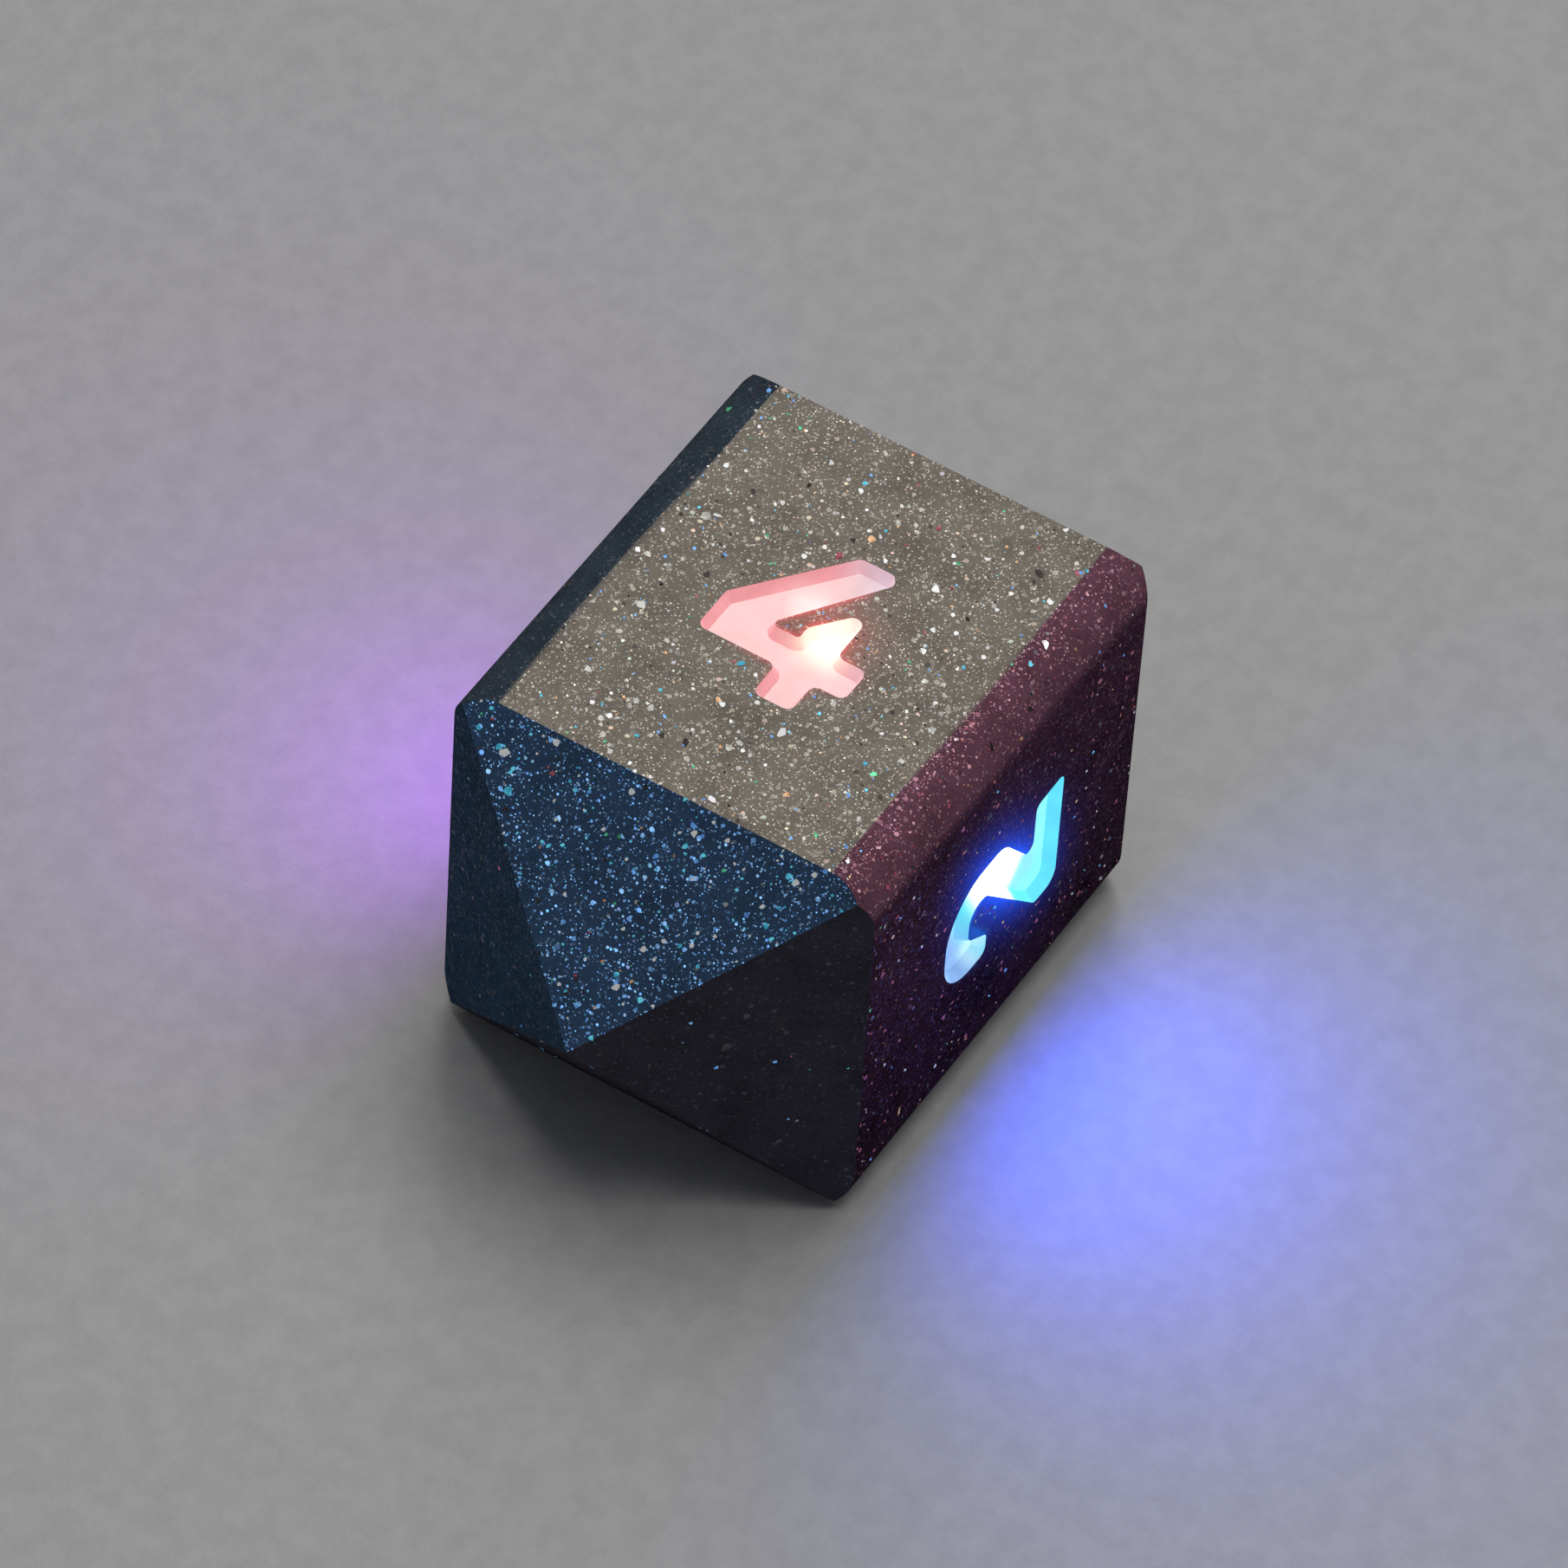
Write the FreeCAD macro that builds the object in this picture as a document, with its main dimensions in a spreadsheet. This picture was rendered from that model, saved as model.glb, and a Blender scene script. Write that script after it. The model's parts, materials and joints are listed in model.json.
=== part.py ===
import FreeCAD, Part
import math
import os

from FreeCAD import Placement, Rotation, Vector

# A light-up four-sided die: a square bar with a low pyramid on each end.
# The outside is opaque resin full of glitter. Inside it a clear resin core holds a small
# circuit, folded from six boards round one lithium cell, with a lamp behind each numeral.
# Origin: centre of the face that the die rests on. +Z up, +X along the bar.

NUMBERS = (1, 2, 3, 4)

doc = FreeCAD.newDocument("light_up_die")
sheet = doc.addObject("Spreadsheet::Sheet", "sizes")

DRIVING_SIZES = {
    # outside
    "body_width": 16.0,
    "body_length": 16.9,
    "apex_height": 5.3,
    "edge_radius": 1.7,
    "shell_wall": 1.6,
    # numerals
    "numeral_height": 6.9,
    "recess_depth": 0.42,
    "recess_slope": 30.0,
    # folded boards
    "board_inside": 4.5,
    "board_thickness": 0.5,
    "board_span": 8.4,
    "board_length": 12.8,
    "hinge_thickness": 0.12,
    "hinge_length": 6.0,
    "end_hinge_length": 4.0,
    # lamps
    "lamp_side": 2.0,
    "lamp_height": 0.8,
    "lamp_floor": 0.25,
    "cup_floor_radius": 0.55,
    "cup_mouth_radius": 0.85,
    # cell
    "cell_length": 10.4,
    "cell_width": 8.0,
    "cell_thickness": 5.0,
    "cell_edge": 0.8,
    "wrap_thickness": 0.1,
    "wrap_length": 6.0,
    "pad_thickness": 0.5,
    "tab_width": 1.5,
    "tab_length": 0.5,
    "tab_thickness": 0.12,
    "guard_board_width": 6.4,
    "guard_board_height": 2.2,
    "guard_board_thickness": 0.4,
    "guard_chip_side": 1.6,
    "guard_chip_height": 0.4,
    "lead_radius": 0.25,
    # charging end
    "ferrite_radius": 3.8,
    "ferrite_thickness": 0.3,
    "coil_outer_radius": 3.6,
    "coil_inner_radius": 1.5,
    "coil_thickness": 0.5,
    "coil_tail_width": 0.5,
    "coil_tail_reach": 0.8,
    "coil_tail_thickness": 0.15,
    "charge_chip_side": 3.0,
    "charge_chip_height": 0.7,
    # radio end
    "radio_chip_side": 4.0,
    "radio_chip_height": 0.85,
    "crystal_length": 2.0,
    "crystal_width": 1.6,
    "crystal_height": 0.5,
    "antenna_length": 5.0,
    "antenna_width": 1.6,
    "antenna_height": 1.0,
    "inductor_side": 2.5,
    "inductor_height": 1.0,
    # sensors and lamp driver
    "motion_length": 3.0,
    "motion_width": 2.5,
    "motion_height": 0.85,
    "wake_length": 2.9,
    "wake_width": 1.3,
    "wake_height": 1.0,
    "driver_side": 3.0,
    "driver_height": 0.75,
    "pin_mark_radius": 0.2,
    "pin_mark_depth": 0.08,
    # small two-ended parts
    "small_part_length": 0.6,
    "small_part_width": 0.5,
    "small_part_height": 0.35,
    "end_cap_length": 0.2,
}

for row, (alias, value) in enumerate(DRIVING_SIZES.items(), start=1):
    sheet.set(f"A{row}", alias)
    sheet.set(f"B{row}", str(value))
    sheet.setAlias(f"B{row}", alias)
doc.recompute()


def size(alias):
    """The value of one cell of the sheet, in millimetres or degrees."""
    return float(sheet.get(alias))


MIDDLE = Vector(0, 0, size("body_width") / 2)
BOARD_OUTSIDE = size("board_inside") + size("board_thickness")
END_GAP = BOARD_OUTSIDE - size("board_span") / 2
END_OUTSIDE = size("board_length") / 2 + END_GAP
END_INSIDE = END_OUTSIDE - size("board_thickness")

X, Y, Z = Vector(1, 0, 0), Vector(0, 1, 0), Vector(0, 0, 1)


def facing(right, up):
    """Rotation that lays a drawing's x along right, its y along up and its z outwards."""
    return Rotation(right, up, right.cross(up), "ZXY")


# Each numbered face by its number, and the two pyramid ends by name.
FACES = {
    4: facing(Y, -X),
    2: facing(Z, X),
    1: facing(-Y, -X),
    3: facing(-Z, X),
    "front": facing(Y, Z),
    "back": facing(-Y, Z),
}


def on_face(face, right, up, out):
    """Place at (right, up) on a face, out from the die's middle."""
    turn = FACES[face]
    return Placement(MIDDLE + turn.multVec(Vector(right, up, out)), turn)


def bind(feature, **expressions):
    """Bind each property to an expression of sheet cells, given without the sheet's name."""
    for name, expression in expressions.items():
        for alias in sorted(DRIVING_SIZES, key=len, reverse=True):
            expression = expression.replace(f"<{alias}>", f"sizes.{alias}")
        feature.setExpression(name, expression)
    feature.recompute()


def slab(label, face, right, up, out, width, height, depth):
    """A box centred at (right, up) on a face, from out outwards."""
    box = doc.addObject("Part::Box", label)
    bind(box, Length=width, Width=height, Height=depth)
    box.Placement = on_face(face, right - box.Length.Value / 2, up - box.Width.Value / 2, out)
    return box


def disc(label, face, right, up, out, radius, depth):
    """A round plate centred at (right, up) on a face, from out outwards."""
    plate = doc.addObject("Part::Cylinder", label)
    bind(plate, Radius=radius, Height=depth)
    plate.Placement = on_face(face, right, up, out)
    return plate


def cut(label, base, tool):
    piece = doc.addObject("Part::Cut", label)
    piece.Base = base
    piece.Tool = tool
    return piece


def fuse(label, shapes):
    piece = doc.addObject("Part::MultiFuse", label)
    piece.Shapes = shapes
    return piece


def group(label, solids):
    """Several separate solids in one node."""
    piece = doc.addObject("Part::Compound", label)
    piece.Links = solids
    return piece


# ---------------------------------------------------------------- outlines

def rounded_outline(sketch, corners):
    """Draw a closed outline from corners given as (x, y, radius), with an arc at each."""
    count = len(corners)
    ends = []
    for i, (x, y, radius) in enumerate(corners):
        here = Vector(x, y, 0)
        before = Vector(*corners[i - 1][:2], 0) - here
        after = Vector(*corners[(i + 1) % count][:2], 0) - here
        before.normalize()
        after.normalize()
        half_angle = before.getAngle(after) / 2
        reach = radius / math.tan(half_angle)
        inward = (before + after).normalize()
        centre = here + inward * (radius / math.sin(half_angle))
        nearest = centre - inward * radius
        ends.append((here + before * reach, nearest, here + after * reach))
    for i, (start, nearest, stop) in enumerate(ends):
        sketch.addGeometry(Part.Arc(start, nearest, stop))
        following = ends[(i + 1) % count][0]
        if stop.distanceToPoint(following) > 1e-6:
            sketch.addGeometry(Part.LineSegment(stop, following))


SMALL = 0.045   # corner radius of a numeral's stroke, as a share of its height

# Numeral outlines as (x, y, corner radius), in shares of the numeral's height. The foot of
# the 2 hangs a little below the others.
NUMERALS = {
    1: (
        (-0.10, -0.50, SMALL), (0.11, -0.50, SMALL), (0.11, 0.50, SMALL), (-0.04, 0.50, SMALL),
        (-0.29, 0.30, SMALL), (-0.29, 0.13, SMALL), (-0.10, 0.22, SMALL),
    ),
    2: (
        (-0.43, -0.54, 0.09), (0.34, -0.54, SMALL), (0.33, -0.29, SMALL), (-0.04, -0.29, SMALL),
        (0.33, 0.00, 0.16), (0.33, 0.50, 0.31), (-0.34, 0.50, 0.26), (-0.34, 0.11, SMALL),
        (-0.21, 0.11, SMALL), (-0.09, 0.29, 0.08), (0.115, 0.29, 0.10), (0.115, 0.15, 0.08),
        (-0.43, -0.35, 0.06),
    ),
    3: (
        (-0.32, 0.50, SMALL), (0.37, 0.50, SMALL), (0.13, 0.12, 0.02),
        (0.35, 0.12, 0.17), (0.35, -0.50, 0.30), (-0.36, -0.50, 0.24), (-0.36, -0.20, SMALL),
        (-0.15, -0.20, SMALL), (-0.15, -0.29, 0.04), (0.14, -0.29, 0.10), (0.14, -0.07, 0.10),
        (-0.13, -0.07, SMALL), (-0.13, 0.06, SMALL), (0.05, 0.29, SMALL), (-0.32, 0.29, SMALL),
    ),
    4: (
        (0.02, -0.50, SMALL), (0.23, -0.50, SMALL), (0.23, -0.30, SMALL), (0.40, -0.30, SMALL),
        (0.40, -0.09, SMALL), (0.23, -0.09, SMALL), (0.23, 0.25, SMALL), (0.02, -0.01, SMALL),
        (0.02, -0.09, 0.02), (-0.15, -0.09, 0.03), (0.22, 0.445, 0.038), (0.185, 0.50, 0.038),
        (0.00, 0.50, SMALL), (-0.42, -0.03, SMALL), (-0.42, -0.29, SMALL), (0.02, -0.29, SMALL),
    ),
}


def numeral_sketch(label, number, depth=0):
    """The outline of a numeral, lying on its face or a depth below it."""
    sketch = doc.addObject("Sketcher::SketchObject", label)
    tall = size("numeral_height")
    rounded_outline(sketch, [(x * tall, y * tall, r * tall) for x, y, r in NUMERALS[number]])
    sketch.Placement = on_face(number, 0, 0, size("body_width") / 2 - depth)
    return sketch


def numeral_window(number, outline):
    """The straight-sided hole that a numeral fills, through the wall of the casting."""
    solid = doc.addObject("Part::Extrusion", f"window_{number}")
    solid.Base = outline
    solid.DirMode = "Normal"
    solid.Solid = True
    solid.Reversed = True
    bind(solid, LengthFwd="<shell_wall>")
    return solid


def numeral_recess(number, outline):
    """The groove sunk in a numeral, with sloping sides down to a narrower flat floor."""
    depth = size("recess_depth")
    floor = doc.addObject("Part::Offset2D", f"floor_{number}")
    floor.Source = numeral_sketch(f"floor_outline_{number}", number, depth)
    floor.Join = "Intersection"
    bind(floor, Value="-<recess_depth> * tan(<recess_slope> * 1 deg)")
    recess = doc.addObject("Part::Loft", f"recess_{number}")
    recess.Sections = [outline, floor]
    recess.Solid = True
    recess.Ruled = True
    return recess


# ---------------------------------------------------------------- resin castings

def crystal(label, wall):
    """A square bar with rounded long edges and a pyramid on each end, a wall inside the die."""
    half_angle_depth = "sqrt((<body_width> / 2)^2 + <apex_height>^2)"
    setback = f"(({half_angle_depth}) - <apex_height>) * ({wall}) / (<body_width> / 2)"
    width = f"<body_width> - 2 * ({wall})"
    flat = f"<body_length> - 2 * ({setback})"
    apex = f"<apex_height> * (1 - ({wall}) / (<body_width> / 2))"

    bar = doc.addObject("Part::Box", f"{label}_bar")
    bind(bar, Length=f"{flat} + 2 * ({apex})", Width=width, Height=width)
    long_x, half = bar.Length.Value / 2, bar.Width.Value / 2
    bar.Placement = Placement(MIDDLE - Vector(long_x, half, half), Rotation())
    along_bar = [
        i for i, edge in enumerate(bar.Shape.Edges, start=1)
        if abs(edge.tangentAt(edge.FirstParameter).x) > 0.9
    ]
    radius = size("edge_radius") * half / (size("body_width") / 2)
    rounded = doc.addObject("Part::Fillet", f"{label}_rounded_bar")
    rounded.Base = bar
    rounded.Edges = [(i, radius, radius) for i in along_bar]

    pyramid = size("apex_height") * half / (size("body_width") / 2)
    profiles = []
    for name, turn in (("side", facing(X, Z)), ("plan", facing(X, -Y))):
        sketch = doc.addObject("Sketcher::SketchObject", f"{label}_{name}_outline")
        outline = [(long_x, 0), (long_x - pyramid, half), (pyramid - long_x, half),
                   (-long_x, 0), (pyramid - long_x, -half), (long_x - pyramid, -half)]
        for start, stop in zip(outline, outline[1:] + outline[:1]):
            sketch.addGeometry(Part.LineSegment(Vector(*start, 0), Vector(*stop, 0)))
        sketch.Placement = Placement(MIDDLE, turn)
        solid = doc.addObject("Part::Extrusion", f"{label}_{name}_profile")
        solid.Base = sketch
        solid.DirMode = "Normal"
        solid.Solid = True
        solid.Symmetric = True
        bind(solid, LengthFwd=width)
        profiles.append(solid)

    block = doc.addObject("Part::MultiCommon", f"{label}_block")
    block.Shapes = [rounded, *profiles]
    return block


# ---------------------------------------------------------------- folded boards

def folded_boards():
    """Four long boards round the cell and one across each end, joined by flexible strips."""
    boards = []
    for number in NUMBERS:
        boards.append(slab(f"led_board_{number}", number, 0, 0, size("board_inside"),
                           "<board_span>", "<board_length>", "<board_thickness>"))
    for label, end in (("charging_board", "front"), ("radio_board", "back")):
        boards.append(slab(label, end, 0, 0, END_INSIDE,
                           "<board_span>", "<board_span>", "<board_thickness>"))
    return boards


def hinge(label, corner, turn, length):
    """A quarter-round strip between two board edges, about the line through corner."""
    bend = size("board_inside") + size("board_thickness") / 2 - size("board_span") / 2
    half_strip = size("hinge_thickness") / 2
    rings = []
    for name, radius in (("outer", bend + half_strip), ("inner", bend - half_strip)):
        ring = doc.addObject("Part::Cylinder", f"{label}_{name}")
        bind(ring, Height=length)
        ring.Radius = radius
        ring.Angle = 90
        base = corner - turn.multVec(Vector(0, 0, ring.Height.Value / 2))
        ring.Placement = Placement(base, turn)
        rings.append(ring)
    return cut(label, *rings)


def flex_hinges():
    """Three strips along the bar and one to each end board."""
    side = size("board_span") / 2
    end = size("board_length") / 2
    along_bar = (
        (Vector(0, side, side), Rotation(Y, Z, X, "ZXY")),
        (Vector(0, side, -side), Rotation(-Z, Y, X, "ZXY")),
        (Vector(0, -side, -side), Rotation(-Y, -Z, X, "ZXY")),
    )
    across_bar = (
        (Vector(end, 0, side), Rotation(Z, X, Y, "ZXY")),
        (Vector(-end, 0, -side), Rotation(-Z, -X, Y, "ZXY")),
    )
    strips = []
    for i, (corner, turn) in enumerate(along_bar, start=1):
        strips.append(hinge(f"long_hinge_{i}", MIDDLE + corner, turn, "<hinge_length>"))
    for i, (corner, turn) in enumerate(across_bar, start=1):
        strips.append(hinge(f"end_hinge_{i}", MIDDLE + corner, turn, "<end_hinge_length>"))
    return group("flex_hinges", strips)


# ---------------------------------------------------------------- parts on the boards

def lamp(number):
    """A white cup-shaped lamp housing on its board, and the clear lens that fills the cup."""
    depth = "<lamp_height> - <lamp_floor>"
    floor = BOARD_OUTSIDE + size("lamp_floor")
    cones = []
    for name in ("cup", "lens"):
        label = f"led_cup_{number}" if name == "cup" else f"led_lens_{number}"
        cone = doc.addObject("Part::Cone", label)
        bind(cone, Radius1="<cup_floor_radius>", Radius2="<cup_mouth_radius>", Height=depth)
        cone.Placement = on_face(number, 0, 0, floor)
        cones.append(cone)
    block = slab(f"led_block_{number}", number, 0, 0, BOARD_OUTSIDE,
                 "<lamp_side>", "<lamp_side>", "<lamp_height>")
    return [cut(f"led_housing_{number}", block, cones[0]), cones[1]]


def chip(label, face, right, up, out, width, height, depth, marked_side=1):
    """A flat chip package with a round pin mark sunk in one corner of its free side."""
    body = slab(f"{label}_body", face, right, up, out, width, height, depth)
    inset = 2.5 * size("pin_mark_radius")
    mark_right = right - body.Length.Value / 2 + inset
    mark_up = up + body.Width.Value / 2 - inset
    free = out + body.Height.Value - size("pin_mark_depth") if marked_side > 0 else out
    mark = disc(f"{label}_mark", face, mark_right, mark_up, free,
                "<pin_mark_radius>", "<pin_mark_depth>")
    return cut(label, body, mark)


def inside_chip(label, face, right, up, inner_side, width, height, depth):
    """A chip under a board, standing from its inner side towards the cell."""
    tall = size(depth.strip("<>"))
    return chip(label, face, right, up, inner_side - tall, width, height, depth, marked_side=-1)


# Where the small parts stand, from the middle of their board: a column on each side of every
# lamp, and on the radio board a row under the chip and a short column beside the crystal.
COLUMN_RIGHT = 2.2
COLUMN_UPS = (-2.0, 0.0, 2.0)
ROW_RIGHTS = (-0.6, 0.6, 1.8, 3.0)
ROW_UP = -3.5
CRYSTAL_COLUMN_RIGHT = 3.3
CRYSTAL_COLUMN_UPS = (0.1, -0.8)


def small_parts():
    """Ceramic chips with metal ends, beside each lamp and on the radio board."""
    spots = []
    for number in NUMBERS:
        spots += [(number, sign * COLUMN_RIGHT, up) for sign in (-1, 1) for up in COLUMN_UPS]
    spots += [("back", right, ROW_UP) for right in ROW_RIGHTS]
    spots += [("back", CRYSTAL_COLUMN_RIGHT, up) for up in CRYSTAL_COLUMN_UPS]
    reach = (size("small_part_length") + size("end_cap_length")) / 2
    bodies, caps = [], []
    for i, (face, right, up) in enumerate(spots, start=1):
        out = END_OUTSIDE if face == "back" else BOARD_OUTSIDE
        bodies.append(slab(f"ceramic_{i}", face, right, up, out, "<small_part_width>",
                           "<small_part_length>", "<small_part_height>"))
        for sign in (-1, 1):
            caps.append(slab(f"end_cap_{i}_{sign + 1}", face, right, up + sign * reach, out,
                             "<small_part_width>", "<end_cap_length>", "<small_part_height>"))
    return [group("capacitors", bodies), group("solder_ends", caps)]


# Where the larger parts stand on their boards, as (right, up) from the board's middle.
CHIP_SPOTS = {
    "radio_chip": (-1.7, -0.6),
    "chip_antenna": (0, 3.1),
    "radio_crystal": (1.9, 0.8),
    "charge_chip": (0, 1.8),
    "power_inductor": (0, 0),
    "motion_sensor": (0, -2.4),
    "wake_sensor": (0, 2.6),
    "lamp_driver_chip": (0, 0),
}


def sensors_and_chips():
    """The chips, sensors, crystal and antenna, on the outside and the inside of the boards."""
    below = size("board_inside")
    return [
        chip("radio_chip", "back", *CHIP_SPOTS["radio_chip"], END_OUTSIDE,
             "<radio_chip_side>", "<radio_chip_side>", "<radio_chip_height>"),
        slab("chip_antenna", "back", *CHIP_SPOTS["chip_antenna"], END_OUTSIDE,
             "<antenna_length>", "<antenna_width>", "<antenna_height>"),
        slab("radio_crystal", "back", *CHIP_SPOTS["radio_crystal"], END_OUTSIDE,
             "<crystal_width>", "<crystal_length>", "<crystal_height>"),
        inside_chip("charge_chip", "front", *CHIP_SPOTS["charge_chip"], END_INSIDE,
                    "<charge_chip_side>", "<charge_chip_side>", "<charge_chip_height>"),
        inside_chip("power_inductor", "back", *CHIP_SPOTS["power_inductor"], END_INSIDE,
                    "<inductor_side>", "<inductor_side>", "<inductor_height>"),
        inside_chip("motion_sensor", 1, *CHIP_SPOTS["motion_sensor"], below,
                    "<motion_width>", "<motion_length>", "<motion_height>"),
        inside_chip("wake_sensor", 1, *CHIP_SPOTS["wake_sensor"], below,
                    "<wake_width>", "<wake_length>", "<wake_height>"),
        inside_chip("lamp_driver_chip", 4, *CHIP_SPOTS["lamp_driver_chip"], below,
                    "<driver_side>", "<driver_side>", "<driver_height>"),
    ]


# ---------------------------------------------------------------- cell and charging coil

CELL_BACK = -5.4      # the cell's end at the radio board, along X from the middle
CELL_UNDER = -3.2     # the cell's underside, from the middle
TAB_SIDE = 2.0        # each cell tab's distance to the side of the middle
TAB_UP = -1.4
LEAD_SIDE = 2.2       # each cell lead's distance to the side of the middle
LEAD_UP = -2.0
GUARD_UP = -1.8       # the guard board and its chip
COIL_TAIL_SIDE = 1.0  # each coil tail's distance to the side of the middle
COIL_TAIL_DOWN = 4.1  # how far below the middle the coil tails turn down


def battery():
    """A soft lithium cell, its wrap and pad, its tabs, and the guard board across its end."""
    front = CELL_BACK + size("cell_length")
    core_z = CELL_UNDER + size("cell_thickness") / 2

    def cell_box(label, length, grow):
        box = doc.addObject("Part::Box", label)
        bind(box, Length=length, Width=f"<cell_width> + 2 * ({grow})",
             Height=f"<cell_thickness> + 2 * ({grow})")
        middle_x = (CELL_BACK + front) / 2
        corner = Vector(middle_x - box.Length.Value / 2, -box.Width.Value / 2,
                        core_z - box.Height.Value / 2)
        box.Placement = Placement(MIDDLE + corner, Rotation())
        return box

    square_cell = cell_box("square_cell", "<cell_length>", "0")
    cell = doc.addObject("Part::Fillet", "battery_cell")
    cell.Base = square_cell
    cell.Edges = [
        (i, size("cell_edge"), size("cell_edge"))
        for i, edge in enumerate(square_cell.Shape.Edges, start=1)
        if abs(edge.tangentAt(edge.FirstParameter).x) > 0.9
    ]
    wrap = cut("cell_wrap", cell_box("wrap_outside", "<wrap_length>", "<wrap_thickness>"),
               cell_box("wrap_inside", "<wrap_length>", "0"))
    top = CELL_UNDER + size("cell_thickness") + size("wrap_thickness")
    pad = slab("cell_foam_pad", 4, 0, -(CELL_BACK + front) / 2, top,
               "<cell_width> - 2 * <cell_edge>", "<wrap_length>", "<pad_thickness>")

    pieces = [cell, wrap, pad]
    for name, side in (("positive", 1), ("negative", -1)):
        pieces.append(slab(f"cell_tab_{name}", "front", side * TAB_SIDE, TAB_UP, front,
                           "<tab_width>", "<tab_thickness>", "<tab_length>"))
    board_out = front + size("tab_length")
    pieces.append(slab("guard_board", "front", 0, GUARD_UP, board_out, "<guard_board_width>",
                       "<guard_board_height>", "<guard_board_thickness>"))
    chip_out = board_out + size("guard_board_thickness")
    pieces.append(slab("guard_chip", "front", 0, GUARD_UP, chip_out, "<guard_chip_side>",
                       "<guard_chip_side>", "<guard_chip_height>"))
    for name, side in (("red", 1), ("black", -1)):
        lead_length = END_INSIDE - chip_out
        lead = disc(f"cell_lead_{name}", "front", side * LEAD_SIDE, LEAD_UP, chip_out,
                    "<lead_radius>", f"{lead_length:.4f}")
        pieces.append(lead)
    return pieces


def charging_end():
    """The ferrite sheet and the flat coil outside the front end board, with the coil's tails."""
    ferrite = disc("ferrite_sheet", "front", 0, 0, END_OUTSIDE,
                   "<ferrite_radius>", "<ferrite_thickness>")
    coil_base = END_OUTSIDE + size("ferrite_thickness")
    coil = cut(
        "charging_coil",
        disc("coil_outside", "front", 0, 0, coil_base, "<coil_outer_radius>", "<coil_thickness>"),
        disc("coil_hole", "front", 0, 0, coil_base, "<coil_inner_radius>", "<coil_thickness>"),
    )

    # Each tail lies on the coil, then turns down past the ferrite to the board.
    tails = []
    reach, thick = size("coil_tail_reach"), size("coil_tail_thickness")
    for i, side in enumerate((-COIL_TAIL_SIDE, COIL_TAIL_SIDE), start=1):
        arm = slab(f"tail_arm_{i}", "front", side, reach / 2 - COIL_TAIL_DOWN,
                   coil_base + size("coil_thickness"),
                   "<coil_tail_width>", "<coil_tail_reach>", "<coil_tail_thickness>")
        leg = slab(f"tail_leg_{i}", "front", side, thick / 2 - COIL_TAIL_DOWN, END_OUTSIDE,
                   "<coil_tail_width>", "<coil_tail_thickness>",
                   "<ferrite_thickness> + <coil_thickness> + <coil_tail_thickness>")
        tails.append(fuse(f"coil_tail_{i}", [arm, leg]))
    return [ferrite, coil, group("coil_tails", tails)]


# ---------------------------------------------------------------- assembly

inside = folded_boards()
inside.append(flex_hinges())
for number in NUMBERS:
    inside += lamp(number)
inside += sensors_and_chips()
inside += small_parts()
inside += battery()
inside += charging_end()

numerals = []
windows = []
for number in NUMBERS:
    outline = numeral_sketch(f"outline_{number}", number)
    window = numeral_window(number, outline)
    windows.append(window)
    numerals.append(cut(f"numeral_{number}", window, numeral_recess(number, outline)))

embedded = []
for piece in inside:
    embedded += piece.Links if piece.TypeId == "Part::Compound" else [piece]
core = cut("light_core", crystal("core", "<shell_wall>"), fuse("everything_inside", embedded))
hollow = cut("hollow_casting", crystal("outside", "0"), crystal("cavity", "<shell_wall>"))
shell = cut("glitter_shell", hollow, fuse("all_windows", windows))

nodes = [shell, core, *numerals, *inside]
doc.recompute()

for thing in doc.Objects:
    if {"Invalid", "Error"} & set(thing.State):
        raise RuntimeError(f"{thing.Label} failed: {thing.State}")
for node in nodes:
    if node.Shape.isNull() or not node.Shape.isValid():
        raise RuntimeError(f"{node.Label} has no valid shape")

os.makedirs("parts", exist_ok=True)
for node in nodes:
    node.Shape.exportStep(f"parts/{node.Label}.step")
    print(f"{node.Label:20s} {node.Shape.Volume:9.3f} mm3, {len(node.Shape.Solids)} solid(s)")
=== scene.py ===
import bisect
import json
import math
import random

import bmesh
import bpy
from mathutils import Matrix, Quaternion, Vector
from mathutils.bvhtree import BVHTree

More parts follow.
